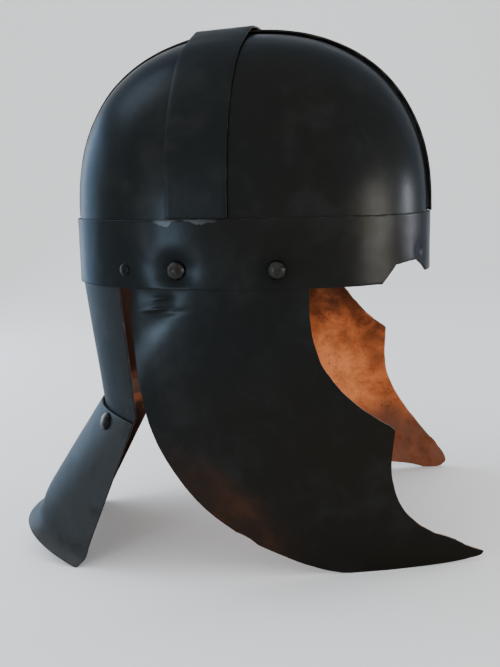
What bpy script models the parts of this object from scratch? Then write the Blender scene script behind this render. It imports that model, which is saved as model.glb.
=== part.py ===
"""A spangenhelm helmet in blackened sheet copper, resting on its cheek plates and neck guard.

Four skull plates sit under two crossing bands and a brow band. Two cheek plates and a neck guard of
two lames hang from the brow band on rivets. The front is -Y and the wearer's left is +X. The pieces
are shaped with the brow band level, its lower edge at height 0 and its middle over the origin. At the
end the whole helmet is tipped to the pose in which it rests on a surface by itself.
"""
import math

import bmesh
import bpy
from mathutils import Matrix, Vector

MM = 0.001

# Sheet and fits.
SHEET = 1.5 * MM
CLEARANCE = 0.4 * MM
STANDING_WEAR = 0.8 * MM

# Brow band, seen from above it is a squarish oval.
BROW_LENGTH = 240.6 * MM
BROW_WIDTH = 190 * MM
BROW_HEIGHT = 42 * MM
BROW_SQUARENESS = 2.3
BROW_SEGMENTS = 84

# Cut over each eye in the band's lower edge, from the short nose piece outwards.
EYE_CUT_HEIGHT = 13 * MM
EYE_CUT = (
    # degrees from the front, share of the height
    (17.0, 0.35),
    (26.4, 1.00),
    (33.0, 0.96),
    (40.0, 0.85),
    (46.6, 0.00),
)

# The band is pulled in round the rear rivet of the right cheek.
DENT_DEPTH = 1.3 * MM
DENT_WIDTH = 13 * MM
DENT_RISE = 11 * MM

# Skull.
SKULL_RISE = 117.0 * MM
SKULL_FULLNESS = 2.35
PLATE_TUCK = 12 * MM
PLATE_COLUMNS = 10
PLATE_ROWS = 11

# Crossing bands.
RIDGE_WIDTH = 34 * MM
CROSS_WIDTH = 38 * MM
BAND_STATIONS = 44
CROSS_BACK = 11.2 * MM
CROSS_SKEW_ANGLE = 7.2
CROSS_CLIMB = 2.7 * MM
CROSS_RAMP_START = 46 * MM
CROSS_RAMP_END = 18 * MM

# Cheek plates.
CHEEK_TUCK = 25 * MM
CHEEK_TUCK_START = 3 * MM
CHEEK_TUCK_REAR = 58 * MM
CHEEK_DROP = 180 * MM
CHEEK_DROP_LEFT = CHEEK_DROP - 12 * MM
CHEEK_REACH = 149.5 * MM
CHEEK_REACH_LEFT = CHEEK_REACH - 6 * MM
CHEEK_EASE = 0.3 * MM
CHEEK_SIDE = 91 * MM
CHEEK_CLOSING = 10 * MM
CHEEK_BEND_HEIGHT = 70 * MM
CHEEK_COLUMNS = 11

# Outline of the right cheek: depth as a share of its drop, edges as shares of its reach.
RIGHT_CHEEK = (
    # depth, rear, front
    (0.000, -0.453, 0.288),
    (0.089, -0.459, 0.289),
    (0.140, -0.457, 0.295),
    (0.183, -0.449, 0.305),
    (0.264, -0.436, 0.336),
    (0.356, -0.418, 0.420),
    (0.417, -0.405, 0.505),
    (0.456, -0.394, 0.581),
    (0.487, -0.384, 0.632),
    (0.550, -0.353, 0.624),
    (0.604, -0.319, 0.616),
    (0.660, -0.276, 0.621),
    (0.723, -0.219, 0.640),
    (0.762, -0.176, 0.662),
    (0.798, -0.129, 0.695),
    (0.842, -0.055, 0.764),
    (0.877, 0.005, 0.851),
    (0.904, 0.065, 0.937),
    (0.923, 0.119, 1.000),
    (0.942, 0.169, 0.986),
    (0.955, 0.209, 0.925),
    (0.975, 0.273, 0.766),
    (0.989, 0.329, 0.638),
    (1.000, 0.416, 0.510),
)

# Outline of the left cheek, cut by hand to another line.
LEFT_CHEEK = (
    # depth, rear, front
    (0.000, -0.455, 0.348),
    (0.075, -0.457, 0.382),
    (0.123, -0.458, 0.438),
    (0.171, -0.458, 0.483),
    (0.229, -0.456, 0.538),
    (0.280, -0.451, 0.610),
    (0.313, -0.447, 0.660),
    (0.370, -0.438, 0.657),
    (0.428, -0.423, 0.653),
    (0.521, -0.386, 0.661),
    (0.615, -0.331, 0.704),
    (0.707, -0.253, 0.774),
    (0.809, -0.141, 0.869),
    (0.882, -0.061, 0.942),
    (0.920, 0.030, 0.981),
    (0.949, 0.141, 1.000),
    (0.964, 0.267, 0.998),
    (0.972, 0.427, 0.996),
    (0.975, 0.671, 0.995),
    (0.985, 0.796, 0.986),
    (1.000, 0.873, 0.954),
)

# Cheek rivets, as distances ahead of the middle of the brow band.
RIVET_REAR = -36.7 * MM
RIVET_FRONT = 24.4 * MM
RIVET_HEIGHT = 11.6 * MM
RIVET_HEAD = 11.6 * MM
RIVET_DOME = 4.2 * MM
RIVET_SHANK = 5 * MM
RIVET_SEAT = 0.8 * MM
RIVET_TAIL = 8 * MM
RIVET_TAIL_DEPTH = 1.2 * MM
RIVET_SIDES = 12

# Neck guard.
UPPER_TUCK = 20 * MM
UPPER_DROP = 84 * MM
UPPER_DRAW_IN = 10.5 * MM
LAME_OVERLAP = 15 * MM
UPPER_HALF_ANGLE = 52.2
UPPER_TAB_HALF_ANGLE = 60.5
UPPER_TAB_START = 3 * MM
UPPER_RIVET_HEAD = 8 * MM
UPPER_RIVET_DOME = 1.2 * MM
UPPER_RIVET_ANGLE = 57.0
LOWER_DROP_RIGHT = 113 * MM
LOWER_DROP_LEFT = 111.5 * MM
LOWER_DROP_BACK = 93 * MM
LOWER_SLANT_ANGLE = 34.0
LOWER_NARROWING = 20 * MM
LOWER_ANGLE_RIGHT = 53.4
LOWER_ANGLE_LEFT = 44.0
LOWER_TOP_DIP = 4.3 * MM
LOWER_TOP_DIP_POWER = 4
LIP_HEIGHT = 18 * MM
LIP_FLARE = 4.5 * MM
LOWER_RIVET_ANGLE = 36.5
LOWER_RIVET_DEPTH = 7.6 * MM
LAME_COLUMNS = 16

OUTLINE_POWER = 2 / BROW_SQUARENESS
STEP = SHEET + CLEARANCE
FULL_TURN = 360.0


def clear_scene():
    for thing in list(bpy.data.objects):
        bpy.data.objects.remove(thing, do_unlink=True)


def finish(name, colour, roughness, metallic):
    """A plain metal surface for one kind of piece."""
    material = bpy.data.materials.new(name)
    material.use_nodes = True
    shader = material.node_tree.nodes["Principled BSDF"]
    shader.inputs["Base Color"].default_value = (*colour, 1)
    shader.inputs["Roughness"].default_value = roughness
    shader.inputs["Metallic"].default_value = metallic
    return material


def signed_power(value, power):
    return math.copysign(abs(value) ** power, value)


def smooth_step(value):
    t = min(max(value, 0.0), 1.0)
    return t * t * (3 - 2 * t)


def place(forward, right, up):
    """Turns distances ahead, to the wearer's right and up into a point."""
    return Vector((-right, -forward, up))


def oval(degrees, half_length, half_width):
    """Point of a squarish oval. 0 degrees is the front and 90 the wearer's right."""
    turn = math.radians(degrees)
    forward = half_length * signed_power(math.cos(turn), OUTLINE_POWER)
    right = half_width * signed_power(math.sin(turn), OUTLINE_POWER)
    return forward, right


def oval_angle(forward, half_length):
    """The angle on the wearer's right at which the oval is this far forward."""
    return math.degrees(math.acos(signed_power(forward / half_length, 1 / OUTLINE_POWER)))


def oval_side(forward, half_length, half_width):
    """How far out the oval is at this distance ahead."""
    share = min(abs(forward) / half_length, 1.0)
    return half_width * (1 - share ** BROW_SQUARENESS) ** (1 / BROW_SQUARENESS)


def dent(forward, height):
    """Depth of the pulled-in patch round the right cheek's rear rivet."""
    along = (forward - RIVET_REAR) / DENT_WIDTH
    up = (height - RIVET_HEIGHT) / DENT_RISE
    return DENT_DEPTH * math.exp(-along * along) * math.exp(-up * up)


def brow_wall(degrees, height, inset):
    """Point of the brow band's outer face, or of a face that lies this far inside it."""
    forward, right = oval(degrees, BROW_LENGTH / 2 - inset, BROW_WIDTH / 2 - inset)
    if right > 0:
        right -= dent(forward, height)
    return place(forward, right, height)


def skull_height(forward, right, lift):
    """Height of the skull's outer face over a place seen from above."""
    along = abs(forward) / (BROW_LENGTH / 2 - STEP + lift)
    across = abs(right) / (BROW_WIDTH / 2 - STEP + lift)
    reach = along ** BROW_SQUARENESS + across ** BROW_SQUARENESS
    left_over = max(0.0, 1 - reach ** (SKULL_FULLNESS / BROW_SQUARENESS))
    return BROW_HEIGHT + (SKULL_RISE + lift) * left_over ** (1 / SKULL_FULLNESS)


def skull_outward(forward, right, height, lift):
    """Outward direction of the skull's outer face at a place on it."""
    length = BROW_LENGTH / 2 - STEP + lift
    width = BROW_WIDTH / 2 - STEP + lift
    rise = SKULL_RISE + lift
    reach = (abs(forward) / length) ** BROW_SQUARENESS + (abs(right) / width) ** BROW_SQUARENESS
    spread = reach ** (SKULL_FULLNESS / BROW_SQUARENESS - 1)
    ahead = spread * signed_power(forward / length, BROW_SQUARENESS - 1) / length
    aside = spread * signed_power(right / width, BROW_SQUARENESS - 1) / width
    above = signed_power((height - BROW_HEIGHT) / rise, SKULL_FULLNESS - 1) / rise
    return place(ahead, aside, above).normalized()


def cross_line(right):
    """How far ahead the middle of the side-to-side band runs, at this distance to the right."""
    return -CROSS_BACK - right * math.tan(math.radians(CROSS_SKEW_ANGLE))


def surface_mesh(rows, around=False):
    """A mesh of one sheet face from rows of points, with its faces turned outwards."""
    mesh = bmesh.new()
    grid = [[mesh.verts.new(point) for point in row] for row in rows]
    steps = len(rows[0]) if around else len(rows[0]) - 1
    for low, high in zip(grid, grid[1:]):
        for i in range(steps):
            j = (i + 1) % len(low)
            mesh.faces.new((low[i], low[j], high[j], high[i]))
    bmesh.ops.remove_doubles(mesh, verts=mesh.verts, dist=0.01 * MM)
    mesh.normal_update()
    outward = 0.0
    for face in mesh.faces:
        middle = face.calc_center_median()
        outward += face.normal.dot(middle - Vector((0, 0, -BROW_HEIGHT))) * face.calc_area()
    if outward < 0:
        bmesh.ops.reverse_faces(mesh, faces=mesh.faces)
        mesh.normal_update()
    return mesh


def thicken(mesh, thickness):
    """Gives a sheet face its wall, inwards, and closes it round the edges."""
    faces = list(mesh.faces)
    rims = [edge.link_loops[0] for edge in mesh.edges if edge.is_boundary]
    rims = [(loop.vert, loop.link_loop_next.vert) for loop in rims]
    inner = {v: mesh.verts.new(v.co - v.normal * thickness) for v in list(mesh.verts)}
    for face in faces:
        mesh.faces.new([inner[v] for v in reversed(face.verts)])
    for start, end in rims:
        mesh.faces.new((end, start, inner[start], inner[end]))


def add_piece(name, mesh, material, parent):
    data = bpy.data.meshes.new(name)
    mesh.to_mesh(data)
    mesh.free()
    piece = bpy.data.objects.new(name, data)
    bpy.context.scene.collection.objects.link(piece)
    piece.parent = parent
    data.materials.append(material)
    data.shade_smooth()
    data.set_sharp_from_angle(angle=math.radians(35))
    return piece


def sheet_piece(name, rows, material, parent, around=False):
    mesh = surface_mesh(rows, around)
    thicken(mesh, SHEET)
    return add_piece(name, mesh, material, parent)


def between(table, depth, column):
    """Reads a column of a table at a value of its first column, straight between rows."""
    for low, high in zip(table, table[1:]):
        if depth <= high[0]:
            share = (depth - low[0]) / (high[0] - low[0])
            return low[column] + (high[column] - low[column]) * share
    return table[-1][column]


def brow_edge(degrees):
    """Height of the band's lower edge, which rises in a cut over each eye."""
    angle = min(degrees, FULL_TURN - degrees)
    if angle <= EYE_CUT[0][0]:
        return EYE_CUT_HEIGHT * EYE_CUT[0][1]
    return EYE_CUT_HEIGHT * between(EYE_CUT, angle, 1)


def brow_angles():
    """Angles of the band's columns, with one at each corner of the eye cuts and one at the dent."""
    corners = [row[0] for row in EYE_CUT]
    dent_angle = oval_angle(RIVET_REAR, BROW_LENGTH / 2)
    special = corners + [FULL_TURN - c for c in corners] + [dent_angle]
    step = FULL_TURN / BROW_SEGMENTS
    regular = [i * step for i in range(BROW_SEGMENTS)]
    kept = [a for a in regular if min(abs(a - c) for c in special) > step / 4]
    return sorted(kept + special)


def make_brow_band(material, parent):
    angles = brow_angles()
    rows = []
    for share in (0.0, 0.25, 0.55, 1.0):
        row = []
        for degrees in angles:
            low = brow_edge(degrees)
            height = low + (BROW_HEIGHT - low) * share
            row.append(brow_wall(degrees, height, 0.0))
        rows.append(row)
    return sheet_piece("brow_band", rows, material, parent, around=True)


def skull_point(degrees, share, corner, lift=0.0):
    """Point of the skull between its crown corner, at share 0, and the brow, at share 1."""
    forward, right = oval(degrees, BROW_LENGTH / 2 - STEP, BROW_WIDTH / 2 - STEP)
    forward = corner[0] + (forward - corner[0]) * share
    right = corner[1] + (right - corner[1]) * share
    return place(forward, right, skull_height(forward, right, lift))


def make_skull_plate(name, front, on_right, material, parent):
    """One quarter of the skull. Its two seams lie hidden under the bands."""
    half_gap = CLEARANCE / 2
    side = 1 if on_right else -1
    ahead = 1 if front else -1
    corner = (-CROSS_BACK + ahead * half_gap, side * half_gap)
    half_length = BROW_LENGTH / 2 - STEP
    half_width = BROW_WIDTH / 2 - STEP
    seam_forward = cross_line(side * half_width) + ahead * half_gap
    seam_angle = oval_angle(seam_forward, half_length)
    ridge = math.degrees(math.asin(signed_power(half_gap / half_width, 1 / OUTLINE_POWER)))
    ridge_angle = ridge if front else 180 - ridge
    rows = []
    for depth in (PLATE_TUCK, 0.0):
        row = []
        for i in range(PLATE_COLUMNS + 1):
            degrees = side * (ridge_angle + (seam_angle - ridge_angle) * i / PLATE_COLUMNS)
            forward, right = oval(degrees, half_length, half_width)
            row.append(place(forward, right, BROW_HEIGHT - depth))
        rows.append(row)
    for j in range(1, PLATE_ROWS + 1):
        climb = math.pi / 2 * j / PLATE_ROWS
        share = math.cos(climb) ** (2 / SKULL_FULLNESS) if j < PLATE_ROWS else 0.0
        row = []
        for i in range(PLATE_COLUMNS + 1):
            degrees = side * (ridge_angle + (seam_angle - ridge_angle) * i / PLATE_COLUMNS)
            row.append(skull_point(degrees, share, corner))
        rows.append(row)
    return sheet_piece(name, rows, material, parent)


def make_ridge_band(material, parent):
    """The front-to-back band, flat across, standing on the brow band at both ends."""
    lift = STEP
    half = BROW_LENGTH / 2 - STEP + lift
    rows = []
    for j in range(BAND_STATIONS + 1):
        turn = math.pi * j / BAND_STATIONS
        forward = half * signed_power(math.cos(turn), 2 / SKULL_FULLNESS)
        height = skull_height(forward, 0.0, lift)
        height = max(height, BROW_HEIGHT + CLEARANCE)
        rows.append([place(forward, side * RIDGE_WIDTH / 2, height) for side in (-1, 1)])
    return sheet_piece("band_front_to_back", rows, material, parent)


def cross_lift(right):
    """The side-to-side band climbs over the other band as it nears the crown."""
    share = (CROSS_RAMP_START - abs(right)) / (CROSS_RAMP_START - CROSS_RAMP_END)
    return STEP + CROSS_CLIMB * smooth_step(share)


def cross_end(side):
    """How far out the side-to-side band ends on one side, over the brow band's outer face."""
    right = side * BROW_WIDTH / 2
    for _ in range(6):
        right = side * oval_side(cross_line(right), BROW_LENGTH / 2, BROW_WIDTH / 2)
    return right


def make_cross_band(material, parent):
    """The side-to-side band, flat across and a little askew, on top of the other band."""
    middles = []
    outwards = []
    for j in range(BAND_STATIONS + 1):
        share = signed_power(math.cos(math.pi * j / BAND_STATIONS), 2 / SKULL_FULLNESS)
        right = abs(share) * cross_end(math.copysign(1, share))
        forward = cross_line(right)
        lift = cross_lift(right)
        height = max(skull_height(forward, right, lift), BROW_HEIGHT + CLEARANCE)
        middles.append(place(forward, right, height))
        outwards.append(skull_outward(forward, right, height, lift))
    rows = []
    for j, middle in enumerate(middles):
        inside = 0 < j < BAND_STATIONS
        along = middles[j + 1] - middles[j - 1] if inside else Vector((0, 0, 1 if j == 0 else -1))
        across = outwards[j].cross(along).normalized() * CROSS_WIDTH / 2
        rows.append([middle - across, middle + across])
    return sheet_piece("band_side_to_side", rows, material, parent)


def cheek_side(forward, height):
    """How far out a cheek's outer face is. It fits the brow band above and is flatter below."""
    inset = STEP + CHEEK_EASE
    above = oval_side(forward, BROW_LENGTH / 2 - inset, BROW_WIDTH / 2 - inset)
    below = CHEEK_SIDE - CHEEK_CLOSING * (forward / CHEEK_REACH) ** 2
    blend = smooth_step(-height / CHEEK_BEND_HEIGHT)
    return above + (below - above) * blend


def make_cheek(name, on_right, table, drop, reach, material, parent):
    side = 1 if on_right else -1
    rows = []
    edges = [(height, -CHEEK_TUCK_REAR, table[0][2] * reach) for height in (CHEEK_TUCK, CHEEK_TUCK_START)]
    edges += [(-drop * depth, rear * reach, front * reach) for depth, rear, front in table]
    for height, rear, front in edges:
        row = []
        for i in range(CHEEK_COLUMNS + 1):
            forward = rear + (front - rear) * i / CHEEK_COLUMNS
            out = cheek_side(forward, height)
            if on_right:
                out -= dent(forward, height)
            row.append(place(forward, side * out, height))
        rows.append(row)
    return sheet_piece(name, rows, material, parent)


def lower_size(depth, inset):
    """Half length and half width of the lower lame's outline at a depth below its upper edge."""
    lip = smooth_step((depth - (LOWER_DROP_RIGHT - LIP_HEIGHT)) / LIP_HEIGHT)
    slant = math.radians(LOWER_SLANT_ANGLE)
    half_length = BROW_LENGTH / 2 - UPPER_DRAW_IN + depth * math.tan(slant) + LIP_FLARE * lip
    half_width = BROW_WIDTH / 2 - LOWER_NARROWING * depth / LOWER_DROP_RIGHT
    return half_length - inset / math.cos(slant), half_width - inset


def neck_point(degrees, depth, inset):
    """Point of the lower lame. 0 degrees is the back and 90 the wearer's right."""
    half_length, half_width = lower_size(depth, inset)
    forward, right = oval(180 - degrees, half_length, half_width)
    return place(forward, right, -UPPER_DROP - depth)


def make_upper_lame(material, parent):
    rows = []
    levels = (UPPER_TUCK, UPPER_TAB_START, 0.0, -UPPER_DROP / 3, -UPPER_DROP * 2 / 3)
    for height in levels:
        draw = UPPER_DRAW_IN * max(0.0, -height) / UPPER_DROP
        spread = UPPER_TAB_HALF_ANGLE if height > 0 else UPPER_HALF_ANGLE
        row = []
        for i in range(LAME_COLUMNS + 1):
            degrees = -spread + 2 * spread * i / LAME_COLUMNS
            half_length = BROW_LENGTH / 2 - STEP - draw
            forward, right = oval(180 - degrees, half_length, BROW_WIDTH / 2 - STEP)
            row.append(place(forward, right, height))
        rows.append(row)
    for share in (0.0, 0.5, 1.0):
        left_spread = UPPER_HALF_ANGLE + (LOWER_ANGLE_LEFT - UPPER_HALF_ANGLE) * share
        row = []
        for i in range(LAME_COLUMNS + 1):
            degrees = -left_spread + (left_spread + UPPER_HALF_ANGLE) * i / LAME_COLUMNS
            row.append(neck_point(degrees, LAME_OVERLAP * share, STEP))
        rows.append(row)
    return sheet_piece("neck_lame_upper", rows, material, parent)


def lower_drop(degrees):
    """Depth of the lower lame's bottom edge, which rises from both corners to the back."""
    if degrees > 0:
        share = (degrees / LOWER_ANGLE_RIGHT) ** 2
        return LOWER_DROP_BACK + (LOWER_DROP_RIGHT - LOWER_DROP_BACK) * share
    share = (degrees / LOWER_ANGLE_LEFT) ** 2
    return LOWER_DROP_BACK + (LOWER_DROP_LEFT - LOWER_DROP_BACK) * share


def lower_top(degrees):
    """Depth of the lower lame's top edge, which dips at both corners."""
    return LOWER_TOP_DIP * (abs(degrees) / LOWER_ANGLE_RIGHT) ** LOWER_TOP_DIP_POWER


def make_lower_lame(material, parent):
    rows = []
    lip_start = 1 - LIP_HEIGHT / LOWER_DROP_RIGHT
    shares = (0.0, 0.2, 0.45, 0.7, lip_start, (lip_start * 2 + 1) / 3, (lip_start + 2) / 3, 1.0)
    for share in shares:
        row = []
        for i in range(LAME_COLUMNS + 1):
            spread = LOWER_ANGLE_RIGHT + LOWER_ANGLE_LEFT
            degrees = -LOWER_ANGLE_LEFT + spread * i / LAME_COLUMNS
            top = lower_top(degrees)
            row.append(neck_point(degrees, top + (lower_drop(degrees) - top) * share, 0.0))
        rows.append(row)
    return sheet_piece("neck_lame_lower", rows, material, parent)


def turned_mesh(profile, sides):
    """A closed turned shape about Z from (radius, height) pairs, with a point at each end."""
    mesh = bmesh.new()
    bottom = mesh.verts.new((0, 0, profile[0][1]))
    top = mesh.verts.new((0, 0, profile[-1][1]))
    rings = []
    for radius, height in profile[1:-1]:
        ring = []
        for i in range(sides):
            turn = 2 * math.pi * i / sides
            ring.append(mesh.verts.new((radius * math.cos(turn), radius * math.sin(turn), height)))
        rings.append(ring)
    for i in range(sides):
        j = (i + 1) % sides
        mesh.faces.new((bottom, rings[0][j], rings[0][i]))
        mesh.faces.new((top, rings[-1][i], rings[-1][j]))
        for low, high in zip(rings, rings[1:]):
            mesh.faces.new((low[i], low[j], high[j], high[i]))
    return mesh


def rivet_mesh(head, dome):
    """A rivet through two sheets. Height 0 is the outer face of the outer sheet."""
    seat = RIVET_SEAT
    tail = -2 * STEP - CHEEK_EASE
    profile = (
        (0, tail - RIVET_TAIL_DEPTH),
        (RIVET_TAIL * 0.36, tail - RIVET_TAIL_DEPTH),
        (RIVET_TAIL / 2, tail - RIVET_TAIL_DEPTH * 0.4),
        (RIVET_TAIL / 2, tail),
        (RIVET_SHANK / 2, tail),
        (RIVET_SHANK / 2, seat),
        (head / 2, seat),
        (head * 0.46, seat + dome * 0.45),
        (head * 0.27, seat + dome * 0.88),
        (0, seat + dome),
    )
    return turned_mesh(profile, RIVET_SIDES)


def axis_frame(point, outward):
    """Places a turned shape with its axis along a face's outward direction."""
    return Matrix.Translation(point) @ outward.to_track_quat("Z", "Y").to_matrix().to_4x4()


def add_rivet(name, point, outward, head, dome, plates, material, parent):
    """A rivet, with a drilled hole for it in both plates."""
    where = axis_frame(point, outward)
    mesh = rivet_mesh(head, dome)
    mesh.transform(where)
    add_piece(name, mesh, material, parent)
    hole = RIVET_SHANK / 2 + CLEARANCE
    reach = 4 * STEP
    drill = turned_mesh(((0, -reach), (hole, -reach), (hole, reach), (0, reach)), RIVET_SIDES)
    drill.transform(where)
    cutter = add_piece(name + "_hole", drill, material, parent)
    cutter.hide_render = True
    cutter.display_type = "WIRE"
    for plate in plates:
        cut(plate, cutter)


def cut(piece, cutter):
    """Takes the cutter's shape away from a piece."""
    boolean = piece.modifiers.new(cutter.name, "BOOLEAN")
    boolean.operation = "DIFFERENCE"
    boolean.solver = "EXACT"
    boolean.object = cutter


def outward_at(point_at, degrees, nudge=0.5):
    """Outward direction of a wall at an angle, from its neighbours along and up the wall."""
    along = point_at(degrees + nudge, 0.0) - point_at(degrees - nudge, 0.0)
    up = point_at(degrees, MM) - point_at(degrees, -MM)
    outward = along.cross(up).normalized()
    point = point_at(degrees, 0.0)
    if outward.dot(Vector((point.x, point.y, 0))) < 0:
        outward.negate()
    return outward


def add_cheek_rivets(brow, cheeks, material, parent):
    for side, label in ((1, "right"), (-1, "left")):
        for end, ahead in (("rear", RIVET_REAR), ("front", RIVET_FRONT)):
            degrees = side * oval_angle(ahead, BROW_LENGTH / 2)

            def wall(angle, up):
                return brow_wall(angle, RIVET_HEIGHT + up, 0.0)

            add_rivet(f"cheek_rivet_{label}_{end}", wall(degrees, 0.0), outward_at(wall, degrees),
                      RIVET_HEAD, RIVET_DOME, (brow, cheeks[label]), material, parent)


def add_neck_rivets(brow, upper, lower, material, parent):
    for side, label in ((1, "right"), (-1, "left")):

        def brow_back(angle, up):
            return brow_wall(180 - angle, RIVET_HEIGHT + up, 0.0)

        def neck(angle, up):
            return neck_point(angle, LOWER_RIVET_DEPTH - up, 0.0)

        degrees = side * UPPER_RIVET_ANGLE
        add_rivet(f"neck_rivet_{label}_upper", brow_back(degrees, 0.0), outward_at(brow_back, degrees),
                  UPPER_RIVET_HEAD, UPPER_RIVET_DOME, (brow, upper), material, parent)
        degrees = side * LOWER_RIVET_ANGLE
        add_rivet(f"neck_rivet_{label}_lower", neck(degrees, 0.0), outward_at(neck, degrees),
                  RIVET_HEAD, RIVET_DOME / 2, (upper, lower), material, parent)


def lowest_corner(piece, up, keep=lambda point: True):
    points = [v.co for v in piece.data.vertices if keep(v.co)]
    return min(points, key=lambda point: point.dot(up))


def resting_normal(cheeks, lower):
    """Up direction of the plane on which both cheeks and the lower lame's right corner stand."""
    up = Vector((0, 0, 1))
    for _ in range(8):
        right = lowest_corner(cheeks["right"], up)
        left = lowest_corner(cheeks["left"], up)
        back = lowest_corner(lower, up, keep=lambda point: point.x < 0)
        up = (right - back).cross(left - back).normalized()
        if up.z < 0:
            up.negate()
    return up, back.dot(up)


def set_down(rest, cheeks, lower):
    """Tips the helmet to its resting pose, over the origin, with its feet at height 0."""
    up, floor = resting_normal(cheeks, lower)
    turn = up.rotation_difference(Vector((0, 0, 1))).to_matrix().to_4x4()
    corners = [turn @ v.co for piece in rest.children if not piece.hide_render for v in piece.data.vertices]
    middle_x = (max(c.x for c in corners) + min(c.x for c in corners)) / 2
    middle_y = (max(c.y for c in corners) + min(c.y for c in corners)) / 2
    shift = Matrix.Translation((-middle_x, -middle_y, -floor - STANDING_WEAR))
    rest.matrix_world = shift @ turn


def flatten_feet(pieces):
    """Files the edges that the helmet stands on flat, at height 0."""
    size = 2 * BROW_LENGTH
    mesh = bmesh.new()
    bmesh.ops.create_cube(mesh, size=size, matrix=Matrix.Translation((0, 0, -size / 2)))
    data = bpy.data.meshes.new("floor_cut")
    mesh.to_mesh(data)
    mesh.free()
    cutter = bpy.data.objects.new("floor_cut", data)
    bpy.context.scene.collection.objects.link(cutter)
    cutter.hide_render = True
    cutter.display_type = "WIRE"
    for piece in pieces:
        cut(piece, cutter)


def main():
    clear_scene()
    blackened = finish("blackened_copper", (0.025, 0.028, 0.032), 0.42, 0.85)
    rivet_metal = finish("hammered_rivet", (0.16, 0.15, 0.13), 0.45, 0.9)
    rest = bpy.data.objects.new("helmet", None)
    bpy.context.scene.collection.objects.link(rest)

    brow = make_brow_band(blackened, rest)
    for front in (True, False):
        for on_right in (True, False):
            name = "skull_plate_" + ("front_" if front else "rear_") + ("right" if on_right else "left")
            make_skull_plate(name, front, on_right, blackened, rest)
    make_ridge_band(blackened, rest)
    make_cross_band(blackened, rest)
    cheeks = {
        "right": make_cheek("cheek_plate_right", True, RIGHT_CHEEK, CHEEK_DROP, CHEEK_REACH,
                            blackened, rest),
        "left": make_cheek("cheek_plate_left", False, LEFT_CHEEK, CHEEK_DROP_LEFT, CHEEK_REACH_LEFT,
                           blackened, rest),
    }
    upper = make_upper_lame(blackened, rest)
    lower = make_lower_lame(blackened, rest)
    add_cheek_rivets(brow, cheeks, rivet_metal, rest)
    add_neck_rivets(brow, upper, lower, rivet_metal, rest)
    set_down(rest, cheeks, lower)
    flatten_feet((cheeks["right"], cheeks["left"], lower))


main()
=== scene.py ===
# %% [markdown]
# # A spangenhelm in blackened copper
#
# The real helmet is hammered from sheet copper, blackened outside and left bare inside. Its packed
# model gives the true sizes and the pose in which it rests. Here each sheet is made again with a fine
# surface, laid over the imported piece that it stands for, and given its finish.

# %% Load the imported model
import math

import bmesh
import bpy
import numpy as np
from mathutils import Matrix, Vector, noise


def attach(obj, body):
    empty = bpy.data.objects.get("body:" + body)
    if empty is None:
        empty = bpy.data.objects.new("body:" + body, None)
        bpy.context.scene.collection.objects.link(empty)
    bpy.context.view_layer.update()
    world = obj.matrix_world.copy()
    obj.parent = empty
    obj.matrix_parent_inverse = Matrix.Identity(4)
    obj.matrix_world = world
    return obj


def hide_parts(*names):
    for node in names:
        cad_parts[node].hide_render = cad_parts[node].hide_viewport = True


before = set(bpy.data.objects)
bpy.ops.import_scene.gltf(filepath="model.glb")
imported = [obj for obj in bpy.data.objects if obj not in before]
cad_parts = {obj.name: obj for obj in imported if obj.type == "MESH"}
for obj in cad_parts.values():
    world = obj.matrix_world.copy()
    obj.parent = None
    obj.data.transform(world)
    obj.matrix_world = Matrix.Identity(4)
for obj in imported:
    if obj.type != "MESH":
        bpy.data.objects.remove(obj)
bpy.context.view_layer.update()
MM = 0.001
print("packed nodes:", len(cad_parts))

# %% [markdown]
# ## Where the helmet stands
#
# The helmet leans a little as it rests. Its maker shaped it with the brow band level, so the work is
# easier in that level frame. The flat top rim of the brow band points straight up there. Its direction
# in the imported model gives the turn, and the middle of the band gives the shift.

# %% Measure the resting pose from the brow band
FACING_UP = 0.9
brow_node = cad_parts["brow_band"]
rim = Vector((0, 0, 0))
for face in brow_node.data.polygons:
    if face.normal.z > FACING_UP:
        rim += face.normal * face.area
turn = Vector((0, 0, 1)).rotation_difference(rim.normalized()).to_matrix()
points = np.array([turn.inverted() @ v.co for v in brow_node.data.vertices])
low, high = points.min(0), points.max(0)
middle = Vector(((low[0] + high[0]) / 2, (low[1] + high[1]) / 2, low[2]))
rest = Matrix.Translation(turn @ middle) @ turn.to_4x4()
HALF_WIDTH, HALF_LENGTH = (high[:2] - low[:2]) / 2
BROW_HEIGHT = high[2] - low[2]
print("brow band, mm:", HALF_LENGTH * 2 / MM, HALF_WIDTH * 2 / MM, BROW_HEIGHT / MM)

# %% [markdown]
# ## Shared shapes
#
# Seen from above the helmet is a squarish oval, a superellipse. A point of it comes from an angle, with
# 0 at the front and 90 on the wearer's right. All the sheets lie on such ovals, each one a wall and a
# small gap inside the next.

# %% Ovals and walls
SHEET = 1.5 * MM
CLEARANCE = 0.4 * MM
STEP = SHEET + CLEARANCE
SQUARENESS = 2.3


def signed_power(value, power):
    return math.copysign(abs(value) ** power, value)


def smooth_step(value):
    t = min(max(value, 0.0), 1.0)
    return t * t * (3 - 2 * t)


def bell(value):
    """1 in the middle, falling off to nothing on both sides."""
    return math.exp(-value * value)


def place(forward, right, up):
    """Turns distances ahead, to the wearer's right and up into a point of the level frame."""
    return Vector((-right, -forward, up))


def oval(degrees, half_length=HALF_LENGTH, half_width=HALF_WIDTH):
    """Distances ahead and to the right of a point of an oval."""
    angle = math.radians(degrees)
    forward = half_length * signed_power(math.cos(angle), 2 / SQUARENESS)
    return forward, half_width * signed_power(math.sin(angle), 2 / SQUARENESS)


def oval_side(forward, inset):
    """How far out the oval is at this distance ahead."""
    share = min(abs(forward) / (HALF_LENGTH - inset), 1.0)
    return (HALF_WIDTH - inset) * (1 - share ** SQUARENESS) ** (1 / SQUARENESS)


def oval_angle(forward):
    return math.degrees(math.acos(signed_power(forward / HALF_LENGTH, SQUARENESS / 2)))


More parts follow.
